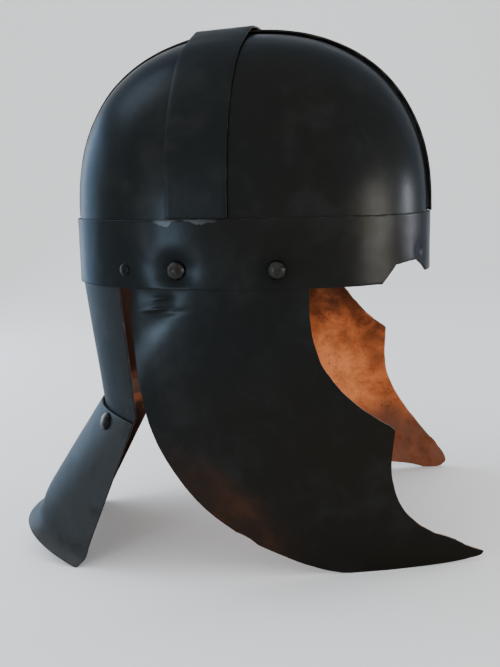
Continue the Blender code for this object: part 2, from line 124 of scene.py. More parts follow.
print("oval at 45 degrees, mm:", [round(c / MM, 1) for c in oval(45)])

# %% [markdown]
# ## The camera
#
# The photograph was taken a little ahead of the wearer's right side, from about the height of the
# skull. The camera is placed in the level frame and then leans with the helmet, so the helmet keeps
# the photograph's angle while it rests on the floor by itself.

# %% Camera at the photograph's angle
CAMERA_DISTANCE = 584 * MM
CAMERA_AHEAD = math.radians(7.0)
CAMERA_HEIGHT = 59.8 * MM
CAMERA_PITCH = math.radians(9.96)
CAMERA_YAW = math.radians(0.36)
CAMERA_ROLL = math.radians(-1.35)
CAMERA_SHIFT = 0.75 * MM
CAMERA_LENS = 44.8
SENSOR = 36.0


def set_up(thing, **settings):
    for key, value in settings.items():
        setattr(thing, key, value)


def new_object(name, data):
    thing = bpy.data.objects.new(name, data)
    bpy.context.scene.collection.objects.link(thing)
    return thing


def direction(forward, right, up):
    return place(forward, right, up).normalized()


def make_camera():
    heading = CAMERA_AHEAD + CAMERA_YAW
    sight = direction(-math.sin(heading), -math.cos(heading), 0)
    side = direction(math.cos(heading), -math.sin(heading), 0)
    up = Vector((0, 0, 1))
    ahead = math.cos(CAMERA_PITCH) * sight - math.sin(CAMERA_PITCH) * up
    above = math.sin(CAMERA_PITCH) * sight + math.cos(CAMERA_PITCH) * up
    across = math.cos(CAMERA_ROLL) * side + math.sin(CAMERA_ROLL) * above
    above = math.cos(CAMERA_ROLL) * above - math.sin(CAMERA_ROLL) * side
    spot = place(CAMERA_DISTANCE * math.sin(CAMERA_AHEAD) - CAMERA_SHIFT,
                 CAMERA_DISTANCE * math.cos(CAMERA_AHEAD), CAMERA_HEIGHT)
    basis = Matrix((across, above, -ahead)).transposed().to_4x4()
    data = bpy.data.cameras.new("photograph_view")
    set_up(data, lens=CAMERA_LENS, sensor_width=SENSOR)
    camera = new_object("photograph_view", data)
    camera.matrix_world = rest @ Matrix.Translation(spot) @ basis
    bpy.context.scene.camera = camera
    return camera


camera = make_camera()
print("camera height over the floor, mm:", round(camera.matrix_world.translation.z / MM))

# %% [markdown]
# ## A shorthand for node maths
#
# Shader and geometry formulas read better as sums and products than as a row of node calls. This class
# wraps a socket, so that an expression on it adds the Math nodes. One method adds any other node.

# %% Node shorthand
OPERATORS = (
    # name of the Python operator, name of the Math node
    ("add", "ADD"),
    ("sub", "SUBTRACT"),
    ("mul", "MULTIPLY"),
    ("truediv", "DIVIDE"),
    ("pow", "POWER"),
)


class Wire:
    """A node's output socket that can stand in a formula."""

    def __init__(self, tree, socket):
        self.tree = tree
        self.socket = socket

    def __neg__(self):
        return self * -1.0

    def __abs__(self):
        return self.tree.math("ABSOLUTE", self)

    def largest(self, other):
        return self.tree.math("MAXIMUM", self, other)

    def smallest(self, other):
        return self.tree.math("MINIMUM", self, other)

    def signed_power(self, power):
        """The power of the value's size, with the value's sign."""
        return self.tree.math("SIGN", self) * abs(self) ** power

    def bell(self, middle, width):
        """1 where the value is at the middle, falling off over the width."""
        share = (self - middle) / width
        return self.tree.math("EXPONENT", -(share * share))

    def ramp(self, start, end):
        """Rises smoothly from 0 at start to 1 at end."""
        settings = {"interpolation_type": "SMOOTHSTEP"}
        values = {"Value": self, "From Min": start, "From Max": end}
        return self.tree.add("ShaderNodeMapRange", settings, values)


def add_operator(name, operation):
    """Gives Wire an operator, for a wire on the left of it and for a wire on the right."""
    setattr(Wire, f"__{name}__", lambda wire, other: wire.tree.math(operation, wire, other))
    setattr(Wire, f"__r{name}__", lambda wire, other: wire.tree.math(operation, other, wire))


for row in OPERATORS:
    add_operator(*row)


def opaque(colour):
    return colour if isinstance(colour, Wire) else (*colour, 1)


class Tree:
    """A node tree with one way to add a node."""

    def __init__(self, nodes):
        self.nodes = nodes

    def fill(self, sockets, pairs):
        """Links a wire to each socket, or sets a plain value there."""
        for key, value in pairs:
            if isinstance(value, Wire):
                self.nodes.links.new(value.socket, sockets[key])
            else:
                sockets[key].default_value = value

    def add(self, kind, settings=None, values=(), output=0):
        """Adds a node, sets it up first, then fills or links its sockets, and wraps one output."""
        node = self.nodes.nodes.new(kind)
        for key, value in (settings or {}).items():
            if key == "stops":
                self.place_stops(node.color_ramp.elements, value)
            else:
                setattr(node, key, value)
        self.fill(node.inputs, values.items() if isinstance(values, dict) else enumerate(values))
        return Wire(self, node.outputs[output]) if node.outputs else node

    def math(self, operation, *values):
        return self.add("ShaderNodeMath", {"operation": operation}, values)

    def vector_math(self, operation, first, second, output=0):
        return self.add("ShaderNodeVectorMath", {"operation": operation}, (first, second), output)

    def place_stops(self, elements, stops):
        while len(elements) < len(stops):
            elements.new(0.5)
        for element, (position, colour) in zip(elements, stops):
            element.position = position
            element.color = opaque(colour)

    def parts(self, vector):
        """The three numbers of a vector."""
        node = self.add("ShaderNodeSeparateXYZ", {}, (vector,)).socket.node
        return [Wire(self, socket) for socket in node.outputs]

    def noise(self, spot, scale, detail=3.0, rough=0.5, stretch=0.0):
        values = {"Vector": spot, "Scale": scale, "Detail": detail, "Roughness": rough}
        return self.add("ShaderNodeTexNoise", {}, {**values, "Distortion": stretch})

    def blend(self, share, first, second):
        """Mixes two colours."""
        values = {0: share, 6: opaque(first), 7: opaque(second)}
        return self.add("ShaderNodeMix", {"data_type": "RGBA"}, values, 2)


print("node shorthand ready")

# %% [markdown]
# ## The finishes
#
# Each finish is a node tree that reads its place on the object, so its patches run on from one sheet to
# the next. Many marks sit at one place of the helmet. A mark is described by an origin in the level
# frame and a direction, and its shader reads how far a point lies from the origin along that direction.

# %% Start of every finish
AHEAD = (1, 0, 0)
RIGHT = (0, 1, 0)
UP = (0, 0, 1)
NEAR_SIDE = 60.0


class Finish(Tree):
    """A material's tree, with its shader and the place on the object."""

    def __init__(self, name):
        self.material = bpy.data.materials.new(name)
        self.material.use_nodes = True
        super().__init__(self.material.node_tree)
        self.shader = self.nodes.nodes["Principled BSDF"]
        self.spot = self.add("ShaderNodeTexCoord", {}, (), "Object")

    def noises(self, rows):
        return [self.noise(self.spot, *row) for row in rows]

    def along(self, way, origin=(0, 0, 0)):
        """Distance of the shaded place from an origin, along a direction, both given in the level frame."""
        start = rest @ place(*(value * MM for value in origin))
        heading = rest.to_3x3() @ place(*way).normalized()
        offset = self.vector_math("SUBTRACT", self.spot, start)
        return self.vector_math("DOT_PRODUCT", offset, heading, "Value")

    def near_side(self):
        """1 on the wearer's right side and 0 elsewhere."""
        return self.along(RIGHT, (0, NEAR_SIDE, 0)).ramp(0.0, 1 * MM)

    def blots(self, rows):
        """The sum of spots that fall off over a radius, each with its place, radius and strength."""
        total = 0.0
        for origin, radius, strength in rows:
            start = rest @ place(*(value * MM for value in origin))
            gap = self.vector_math("DISTANCE", self.spot, start, "Value")
            total = gap.bell(0.0, radius * MM) * strength + total
        return total

    def relief(self, height, strength, depth):
        return self.add("ShaderNodeBump", {}, {"Strength": strength, "Distance": depth, "Height": height})

    def feed(self, **inputs):
        """Feeds the shader's sockets and returns the material."""
        self.fill(self.shader.inputs, ((key.replace("_", " "), value) for key, value in inputs.items()))
        return self.material


print("start of the finishes ready")

# %% [markdown]
# Blackening leaves copper nearly black, with a soft gloss. It isn't even: it is bluer where the skin
# is dense and browner where the copper comes through, and it is scuffed where the helmet is handled.
# A picture of real metal could give all this, but noises of several sizes laid over each other do it at
# any distance, and the marks that belong to one place are then added by name.

# %% Blackened copper
BLUE_BLACK = (0.0080, 0.0096, 0.0098)
BROWN_BLACK = (0.0106, 0.0088, 0.0064)
GREY_BLOOM = (0.0168, 0.0174, 0.0164)
RIVET_SHADE_BLACK = (0.003, 0.003, 0.003)
RUBBED_THROUGH = (0.058, 0.021, 0.009)
SOLDER_GREY = (0.050, 0.055, 0.055)
EDGE_TINT = (0.45, 0.48, 0.52, 1)
# A painted sheen: the neck lames are lifted towards this light bluish grey all over.
LAME_SHEEN = (0.031, 0.034, 0.035)
LIP_BROWN_GREY = (0.052, 0.050, 0.047)
SKIN_NOISES = (
    # scale, detail, roughness and distortion, from the broad patches to the specks and the rubbing
    (13.0, 3.0, 0.5, 0.5),
    (34.0, 5.0, 0.6, 0.4),
    (85.0, 5.0, 0.62, 0.6),
    (420.0, 3.0, 0.6),
    (1100.0, 2.0, 0.5),
    (60.0, 6.0, 0.7, 1.2),
)
# Places of marks are given ahead, to the right and up from the middle of the brow's lower rim, in mm.
BROW_TOP = 42.0
SOLDER_RUNS = (
    # middle ahead, half length and depth of the solder run's two parts, in mm
    (-43.0, 4.5, 4.6),
    (-21.0, 9.0, 2.2),
)
LAME_BACK_EDGE = -177.0
REAR_RIVET = (-36.7, 92.0, 11.6)
FRONT_RIVET = (24.4, 94.0, 11.6)
RIVET_SHADE_SPOTS = (
    # place and radius of the painted shade round a rivet, in mm, and its strength
    (REAR_RIVET, 10.5, 1.0),
    (FRONT_RIVET, 8.0, 0.8),
)
SHINY_SPOTS = (
    # place and radius of a rubbed spot, in mm, and how much smoother it is
    ((-52.0, 91.0, -25.0), 12.0, 0.10),
    (REAR_RIVET, 20.0, 0.06),
)
SOLDER_RAGGED = 7 * MM
SOLDER_LEAST = 0.3 * MM
SOLDER_EDGE = 0.4 * MM
BAND_END = (0.2 * MM, 0.6 * MM)
SOLDER_REACH = (-52 * MM, -46 * MM)
SOLDER_FADE = (-26 * MM, -6 * MM)
CHEEK_LOWER_EDGE = (-28.5, 90.0, -128.0)
CHEEK_EDGE_WAY = (0.80, 0, -0.60)
CHEEK_EDGE_INWARD = (0.60, 0, 0.80)
RUBBED_DEPTH = 28 * MM
RUBBED_MIDDLE = 26 * MM
RUBBED_RUN = 42 * MM
WORN_LIP = (1 * MM, 11 * MM)
LIP_CORNER_RIGHT = 62 * MM
LIP_CORNER_DROP = 20 * MM
BROWN_AHEAD = (-60 * MM, 60 * MM)
BROWN_BELOW = (-150 * MM, 0.0)
RELIEF_DEPTH = 0.5 * MM


def solder_run(finish):
    """The grey run of solder along the brow band's top edge, behind the side-to-side band."""
    ahead = finish.along(AHEAD)
    low = finish.along(UP, (0, 0, BROW_TOP))
    run = low
    for middle, half, depth in SOLDER_RUNS:
        run = run + ahead.bell(middle * MM, half * MM) * depth * MM
    ragged = (finish.noise(finish.spot, 210.0, 3.0, 0.58) - 0.5) * SOLDER_RAGGED
    inside_run = (run + ragged + SOLDER_LEAST).ramp(0.0, SOLDER_EDGE)
    on_band = 1.0 - low.ramp(*BAND_END)
    reach = ahead.ramp(*SOLDER_REACH) * (1.0 - ahead.ramp(*SOLDER_FADE) * 0.85)
    return (inside_run * on_band * reach * finish.near_side()).smallest(1.0)


def rubbed_edge(finish, patches):
    """Copper showing through along the lower rear edge of the right cheek."""
    inward = finish.along(CHEEK_EDGE_INWARD, CHEEK_LOWER_EDGE)
    run = finish.along(CHEEK_EDGE_WAY, CHEEK_LOWER_EDGE)
    fade = (1.0 - inward.ramp(0.0, RUBBED_DEPTH)) * run.bell(RUBBED_MIDDLE, RUBBED_RUN)
    return fade * finish.near_side() * (0.22 + patches.ramp(0.36, 0.66) * 0.6)


def lip_wear(finish):
    """1 at the lower lame's bottom edge, fading out over the lip."""
    edge_drop = (abs(finish.along(RIGHT)) / LIP_CORNER_RIGHT) ** 2.6 * LIP_CORNER_DROP
    return 1.0 - (finish.along(UP, (0, 0, LAME_BACK_EDGE)) + edge_drop).ramp(*WORN_LIP)


def blackened_finish(name, blue=0.0, dull=0.0, bloom_and_sheen=0.0, grey=GREY_BLOOM, worn_lip=False):
    finish = Finish(name)
    broad, patches, cloud, grain, specks, rub = finish.noises(SKIN_NOISES)
    lowness = 1.0 - finish.along(UP).ramp(*BROWN_BELOW)
    brown = finish.along(AHEAD).ramp(*BROWN_AHEAD) * 0.55 + lowness * 0.5
    brown = (brown + (broad - 0.5) * 1.3 - blue).largest(0.0).smallest(1.0)
    skin = finish.blend(brown, BLUE_BLACK, BROWN_BLACK)
    # Real grey bloom in patches, plus an even lift that is a painted sheen on the neck lames.
    dust_and_sheen = patches.ramp(0.46, 0.76) * 0.6 + cloud.ramp(0.5, 0.8) * 0.3 + bloom_and_sheen
    skin = finish.blend(dust_and_sheen.smallest(1.0), skin, grey)
    if worn_lip:
        skin = finish.blend(patches.ramp(0.47, 0.68) * 0.55, skin, BLUE_BLACK)
        skin = finish.blend(lip_wear(finish) * cloud.ramp(0.25, 0.6) * 0.8, skin, LIP_BROWN_GREY)
    # Painted shade: the sheet is darkened and roughened round the rivet heads, where their shadow falls.
    rivet_shade = finish.blots(RIVET_SHADE_SPOTS)
    skin = finish.blend(rivet_shade.smallest(0.85), skin, RIVET_SHADE_BLACK)
    skin = finish.blend(rubbed_edge(finish, patches), skin, RUBBED_THROUGH)
    solder = solder_run(finish)
    skin = finish.blend(solder * (0.55 + cloud * 0.6), skin, SOLDER_GREY)
    rough = 0.24 + dull + broad * 0.08 + patches * 0.10 - rub.ramp(0.50, 0.8) * 0.06
    rough = rough - finish.blots(SHINY_SPOTS) + solder * 0.10 + rivet_shade * 0.12
    height = broad * 1.4 + patches * 0.45 + grain * 0.035 + specks * 0.012 + solder * 0.25
    return finish.feed(Base_Color=skin, Roughness=rough, Metallic=0.85, Specular_Tint=EDGE_TINT,
                       Normal=finish.relief(height, 0.45, RELIEF_DEPTH))


outside = blackened_finish("blackened_outside")
# The neck lames carry a painted sheen: their colour is lifted towards a light bluish grey all over.
upper_outside = blackened_finish("blackened_upper_lame", blue=0.5, dull=0.10, bloom_and_sheen=0.45, grey=LAME_SHEEN)
lower_outside = blackened_finish("blackened_lower_lame", blue=0.5, dull=0.12, bloom_and_sheen=0.85, grey=LAME_SHEEN,
                                 worn_lip=True)
band_outside = blackened_finish("blackened_band", blue=0.35, dull=0.05, bloom_and_sheen=0.15)
print("nodes in the outside finish:", len(outside.node_tree.nodes))

# %% [markdown]
# Inside, the copper was never blackened. It has gone brown in blotches and is dusty along the lowest edge.
# Painted shade darkens it towards the back and near the top, and painted light brightens two spots inside
# the left cheek. One number says how dark each place is, and a colour ramp turns it into the tone, so the
# tones always follow each other as they do on real copper.

# %% Bare copper of the inside
COPPER_STOPS = (
    # place on the ramp, colour, from tarnished to clean
    (0.22, (0.040, 0.013, 0.005)),
    (0.38, (0.23, 0.062, 0.021)),
    (0.50, (0.56, 0.150, 0.046)),
    (0.66, (0.92, 0.295, 0.098)),
)
TARNISH_BROWN = (0.055, 0.022, 0.011)
DUSTY_COPPER = (0.115, 0.058, 0.042)
# Painted shade: near black, deep inside the back of the helmet.
INSIDE_SHADE_BLACK = (0.009, 0.005, 0.004)
DUSTY_BELOW = (-138 * MM, -104 * MM)
# Painted shade: the inside gets darker towards the top.
SHADED_NEAR_TOP = (-70 * MM, -28 * MM)
# Where the painted shade at the back inside begins and ends.
SHADED_BEHIND = (-60 * MM, -5 * MM)
SHADED_BACK_ABOVE = (-82 * MM, -76 * MM)
SHADED_FAR_BEHIND = (-110 * MM, -90 * MM)
SHADED_FAR_BELOW = (-118 * MM, -104 * MM)
SOFT_SHINE = 0.3
COPPER_TINT = (1.0, 0.72, 0.58, 1)
COPPER_NOISES = (
    # scale, detail, roughness and distortion, from the broad patches to the pits
    (24.0, 5.0, 0.6, 0.6),
    (70.0, 6.0, 0.72, 0.4),
    (310.0, 4.0, 0.8),
    (700.0, 2.0, 0.6),
)
PAINTED_LIGHT_SPOTS = (
    # place and radius of the painted pools of light inside the left cheek, in mm, and their strength
    ((48.0, -87.0, -78.0), 24.0, 0.13),
    ((72.0, -86.0, -106.0), 20.0, 0.13),
)
TARNISH_SPOTS = (
    # place and radius of the dark spots there, in mm, and their strength
    ((83.0, -84.0, -60.0), 6.5, 0.8),
    ((88.0, -84.0, -78.0), 7.0, 0.8),
    ((64.0, -86.0, -64.0), 3.5, 0.8),
    ((98.0, -83.0, -120.0), 10.0, 0.8),
    ((62.0, -86.0, -22.0), 12.0, 0.8),
)


def bare_copper_finish(name, darkening=0.0, low_tarnish=0.10):
    finish = Finish(name)
    broad, cloud, specks, pits = finish.noises(COPPER_NOISES)
    ahead = finish.along(AHEAD)
    up = finish.along(UP)
    low = 1.0 - up.ramp(*DUSTY_BELOW)
    # Painted shade darkens the tone near the top inside, and painted light lifts it at two spots in the left
    # cheek.
    shade = darkening + low * low_tarnish + up.ramp(*SHADED_NEAR_TOP) * 0.17 - finish.blots(PAINTED_LIGHT_SPOTS)
    tone = broad * 0.45 + cloud * 0.55 - shade
    copper = finish.add("ShaderNodeValToRGB", {"stops": COPPER_STOPS}, (tone,))
    dark = specks.ramp(0.56, 0.72) * 0.65 + finish.blots(TARNISH_SPOTS) * cloud.ramp(0.3, 0.6)
    copper = finish.blend(dark.smallest(0.9), copper, TARNISH_BROWN)
    copper = finish.blend(low * cloud.ramp(0.30, 0.60) * 0.8, copper, DUSTY_COPPER)
    # Painted shade: the copper goes near black towards the back inside, and low down at the very back.
    rear = (1.0 - ahead.ramp(*SHADED_BEHIND)) * up.ramp(*SHADED_BACK_ABOVE)
    lowest_rear = (1.0 - ahead.ramp(*SHADED_FAR_BEHIND)) * (1.0 - up.ramp(*SHADED_FAR_BELOW))
    inside_shade = (rear + lowest_rear).smallest(1.0) * (0.75 + specks * 0.35)
    copper = finish.blend(inside_shade.smallest(0.95), copper, INSIDE_SHADE_BLACK)
    rough = 0.36 + cloud * 0.22 + dark.smallest(1.0) * 0.15
    bumps = broad * 1.2 + cloud * 0.5 + specks * 0.10 + pits * 0.03
    return finish.feed(Base_Color=copper, Roughness=rough, Metallic=0.45 + inside_shade * 0.5,
                       Specular_IOR_Level=SOFT_SHINE, Specular_Tint=COPPER_TINT,
                       Normal=finish.relief(bumps, 0.5, RELIEF_DEPTH))


inside = bare_copper_finish("bare_inside")
# The upper lame's inside lies deep at the back and is darkened further, as painted shade.
upper_inside = bare_copper_finish("dark_inside", darkening=0.36)
lower_inside = bare_copper_finish("tarnished_inside", darkening=0.16, low_tarnish=0.30)
print("nodes in the inside finish:", len(inside.node_tree.nodes))

# %% [markdown]
# The cut edges were blackened with the rest and are rubbed again, down to the copper on the cheek
# plates. The rivets were closed last, with a hammer. A Voronoi pattern gives their small flat facets,
# which a softer noise would round off.

# %% Cut edges and rivets
EDGE_BLACK = (0.010, 0.009, 0.009)
EDGE_GREY = (0.045, 0.038, 0.033)
EDGE_COPPER = (0.42, 0.22, 0.13)
RIVET_LIGHT = (1.0, 0.97, 0.86)
RIVET_DIRT = (0.45, 0.423, 0.369)
EDGE_RELIEF = 0.2 * MM
RIVET_RELIEF = 0.3 * MM
FACET_SCALE = 330.0


def cut_edge_finish(name, worn_colour):
    """The cut edge of the sheet, blackened and then rubbed."""
    finish = Finish(name)
    worn = finish.noise(finish.spot, 140.0, 4.0, 0.65)
    colour = finish.blend(worn.ramp(0.42, 0.7), EDGE_BLACK, worn_colour)
    return finish.feed(Base_Color=colour, Roughness=0.42 + worn * 0.2, Metallic=0.85,
                       Normal=finish.relief(worn, 0.3, EDGE_RELIEF))


def rivet_finish(name, tone):
    """Rivet heads, hammered and a little lighter than the sheet."""
    finish = Finish(name)
    facets = finish.add("ShaderNodeTexVoronoi", {}, {"Vector": finish.spot, "Scale": FACET_SCALE})
    dirt = finish.noise(finish.spot, 260.0, 4.0, 0.6)
    dark, light = (tuple(tone * c for c in tint) for tint in (RIVET_DIRT, RIVET_LIGHT))
    colour = finish.blend(dirt.ramp(0.25, 0.65), dark, light)
    return finish.feed(Base_Color=colour, Roughness=0.27 + dirt * 0.20, Metallic=0.9,
                       Normal=finish.relief(facets + dirt * 0.3, 0.2, RIVET_RELIEF))


dark_edge = cut_edge_finish("blackened_edge", EDGE_GREY)
rubbed_copper_edge = cut_edge_finish("rubbed_copper_edge", EDGE_COPPER)
rivet_light = rivet_finish("rivet_light", 0.026)
rivet_dark = rivet_finish("rivet_dark", 0.005)
BROW_FINISHES = (outside, inside, dark_edge)
BAND_FINISHES = (band_outside, outside, dark_edge)
CHEEK_FINISHES = (outside, inside, rubbed_copper_edge)
UPPER_LAME_FINISHES = (upper_outside, upper_inside, dark_edge)
LOWER_LAME_FINISHES = (lower_outside, lower_inside, dark_edge)
print("finishes:", len(bpy.data.materials))

# %% [markdown]
# ## From a row of points to a sheet
#
# Each sheet starts as a grid of points on its outer face. The face is nudged in and out by a fraction
# of a millimetre, as a hammer leaves it. A Solidify modifier then gives it a wall inwards, with the
# bare copper as its second finish and the cut edge as its third, and a Bevel takes off the sharpness.

# %% Sheet builder
HAMMER_DEPTH = 0.22 * MM
HAMMER_SCALE = 1 / (26 * MM)
QUICK_SCALE = 2.7 * HAMMER_SCALE
QUICK_SHARE = 0.35
QUICK_SHIFT = Vector((7, 3, 1))
EDGE_ROUND = 0.35 * MM
SHARP_ANGLE = math.radians(55)
SAME_PLACE = 0.005 * MM


def hammered(point):
    """How far the hammer left the face out or in at a place."""
    slow = noise.noise(point * HAMMER_SCALE)
    quick = noise.noise(point * QUICK_SCALE + QUICK_SHIFT)
    return HAMMER_DEPTH * (slow + QUICK_SHARE * quick)


def grid_mesh(rows, around=False):
    mesh = bmesh.new()
    grid = [[mesh.verts.new(point) for point in row] for row in rows]
    steps = len(rows[0]) if around else len(rows[0]) - 1
    for lower, upper in zip(grid, grid[1:]):
        for i in range(steps):
            j = (i + 1) % len(lower)
            mesh.faces.new((lower[i], lower[j], upper[j], upper[i]))
    return mesh


def face_outwards(mesh):
    """Turns all faces away from a point under the helmet's middle."""
    bmesh.ops.remove_doubles(mesh, verts=mesh.verts, dist=SAME_PLACE)
    mesh.normal_update()
    inner = Vector((0, 0, -BROW_HEIGHT))
    outward = sum(f.normal.dot(f.calc_center_median() - inner) * f.calc_area() for f in mesh.faces)
    if outward < 0:
        bmesh.ops.reverse_faces(mesh, faces=mesh.faces)
        mesh.normal_update()


def as_object(name, mesh, materials):
    data = bpy.data.meshes.new(name)
    mesh.to_mesh(data)
    mesh.free()
    for material in materials:
        data.materials.append(material)
    return new_object(name, data)


def freeze(thing):
    """Replaces an object's mesh by what its modifiers make of it."""
    graph = bpy.context.evaluated_depsgraph_get()
    made = bpy.data.meshes.new_from_object(thing.evaluated_get(graph), depsgraph=graph)
    thing.modifiers.clear()
    thing.data = made
    made.name = thing.name
    made.shade_smooth()
    return thing


def wall_up(thing):
    """Gives a face its wall and rounds its edges."""
    set_up(thing.modifiers.new("wall", "SOLIDIFY"), thickness=SHEET, offset=-1, use_even_offset=True,
           material_offset=1, material_offset_rim=2)
    set_up(thing.modifiers.new("rounded", "BEVEL"), width=EDGE_ROUND, segments=2, limit_method="ANGLE",
           angle_limit=SHARP_ANGLE, use_clamp_overlap=True)


def stand(thing):
    """Sets a piece down in the resting pose, with nothing under the floor."""
    thing.data.transform(rest)
    for vertex in thing.data.vertices:
        vertex.co.z = max(vertex.co.z, 0.0)
    thing.data.update()


def count(thing):
    thing.data.calc_loop_triangles()
    return len(thing.data.loop_triangles)


def make_sheet(name, mesh, nodes, finishes):
    """Makes a finished sheet from the mesh of its outer face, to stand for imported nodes."""
    face_outwards(mesh)
    for face in mesh.faces:
        face.material_index = 0
    for vertex in mesh.verts:
        vertex.co += vertex.normal * hammered(vertex.co)
    thing = as_object(name, mesh, finishes)
    wall_up(thing)
    freeze(thing)
    stand(thing)
    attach(thing, "root")
    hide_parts(*nodes)
    print(name, "triangles:", count(thing))
    return thing


# %% [markdown]
# ## The brow band
#
# One strip of sheet goes round the brow. Its lower edge is cut up over each eye and leaves a short
# nose piece. The band is pulled in round the right cheek's rear rivet, where the hammer closed the
# gap, and it is a little crumpled above the outer corner of the right eye.

# %% Brow band
EYE_CUT_HEIGHT = 13 * MM
EYE_CUT = (
    # degrees from the front, share of the height
    (17.0, 0.35),
    (26.4, 1.00),
    (33.0, 0.96),
    (40.0, 0.85),
    (46.6, 0.00),
)
EYE_ANGLES, EYE_SHARES = zip(*EYE_CUT)
RIVET_REAR = -36.7 * MM
RIVET_HEIGHT = 11.6 * MM
DENT_DEPTH = 2.4 * MM
DENT_WIDTH = 14 * MM
DENT_RISE = 10 * MM
CRUMPLE_DEPTH = 1.2 * MM
CRUMPLE_ANGLE = 24.0
CRUMPLE_TURN = 3.6
CRUMPLE_HEIGHT = 18 * MM
CRUMPLE_RISE = 4.5 * MM
EDGE_STRAY = 0.45 * MM
EDGE_STRAY_SCALE = 1 / (9 * MM)
BROW_COLUMNS = 420
BROW_ROWS = 26


def dent(forward, height):
    """How far the rear rivet's blows drove the sheets in."""
    return DENT_DEPTH * bell((forward - RIVET_REAR) / DENT_WIDTH) * bell((height - RIVET_HEIGHT) / DENT_RISE)


def brow_wall(degrees, height):
    forward, right = oval(degrees)
    if right > 0:
        right -= dent(forward, height)
    return place(forward, right, height)


def uneven(point, seed):
    """How far a hand-cut edge strays from its line at a point."""
    return EDGE_STRAY * noise.noise(point * EDGE_STRAY_SCALE + Vector((seed, 0, 0)))


def brow_edge(degrees):
    """Height of the lower edge, straight between the corners of the eye cut."""
    return EYE_CUT_HEIGHT * np.interp(min(degrees, 360 - degrees), EYE_ANGLES, EYE_SHARES)


def brow_angles():
    """Even steps round the brow, with the corners of both eye cuts among them."""
    corners = [*EYE_ANGLES, *(360 - c for c in EYE_ANGLES)]
    step = 360 / BROW_COLUMNS
    even = [i * step for i in range(BROW_COLUMNS)]
    kept = [a for a in even if min(abs(a - c) for c in corners) > step / 3]
    return sorted(kept + corners)


def brow_rows():
    rows = []
    for j in range(BROW_ROWS + 1):
        row = []
        for degrees in brow_angles():
            foot = brow_wall(degrees, 0.0)
            low_edge = brow_edge(degrees) + abs(uneven(foot, 3.0))
            top_edge = BROW_HEIGHT - abs(uneven(foot, 11.0))
            height = low_edge + (top_edge - low_edge) * j / BROW_ROWS
            point = brow_wall(degrees, height)
            crumple = bell((degrees - CRUMPLE_ANGLE) / CRUMPLE_TURN)
            crumple *= bell((height - CRUMPLE_HEIGHT) / CRUMPLE_RISE)
            point -= CRUMPLE_DEPTH * crumple * Vector((point.x, point.y, 0)).normalized()
            row.append(point)
        rows.append(row)
    return rows


make_sheet("brow_ring", grid_mesh(brow_rows(), around=True), ["brow_band"], BROW_FINISHES)

# %% [markdown]
# ## The skull plates
#
# The skull is a dome whose outline is a superellipse from every side, cut in four. That is a rule, so
# Geometry Nodes make it: a flat grid is moved to the dome by a formula. The same tree makes all four
# plates, with other angles and another corner for each.

# %% Skull plate tree
SKULL_RISE = 117 * MM
FULLNESS = 2.35
PLATE_TUCK = 12 * MM
CROSS_BACK = 11.2 * MM
CROSS_SKEW_ANGLE = 7.2
PLATE_COLUMNS = 46
PLATE_ROWS = 50
NUMBER = "NodeSocketFloat"
WHOLE = "NodeSocketInt"
MATERIAL = "NodeSocketMaterial"
PLATE_NUMBERS = ("Half Length", "Half Width", "Rise", "Brow Height", "Tuck", "Squareness", "Fullness",
                 "Side", "Start Angle", "End Angle", "Corner Ahead", "Corner Right")
PLATE_INPUTS = {**dict.fromkeys(PLATE_NUMBERS, NUMBER), "Columns": WHOLE, "Rows": WHOLE, "Finish": MATERIAL}


class Shape(Tree):
    """A Geometry Nodes tree with named inputs."""

    def __init__(self, name, inputs):
        super().__init__(bpy.data.node_groups.new(name, "GeometryNodeTree"))
        for way in ("INPUT", "OUTPUT"):
            self.nodes.interface.new_socket("Geometry", in_out=way, socket_type="NodeSocketGeometry")
        self.identifiers = {}
        for title, kind in inputs.items():
            socket = self.nodes.interface.new_socket(title, in_out="INPUT", socket_type=kind)
            self.identifiers[title] = socket.identifier
        start = self.add("NodeGroupInput").socket.node
        self.inputs = {title: Wire(self, start.outputs[title]) for title in ("Geometry", *inputs)}

    def end(self, geometry):
        """Gives the geometry its finish and makes it the tree's result."""
        values = {"Geometry": geometry, "Material": self.inputs["Finish"]}
        self.add("NodeGroupOutput", {}, {"Geometry": self.add("GeometryNodeSetMaterial", {}, values)})
        return self

    def run(self, name, values, base=None):
        """Runs the tree on a fresh object and keeps the plain mesh it makes."""
        thing = new_object(name, base or bpy.data.meshes.new(name))
        modifier = thing.modifiers.new("made", "NODES")
        modifier.node_group = self.nodes
        for title, value in values.items():
            modifier[self.identifiers[title]] = value
        return freeze(thing)


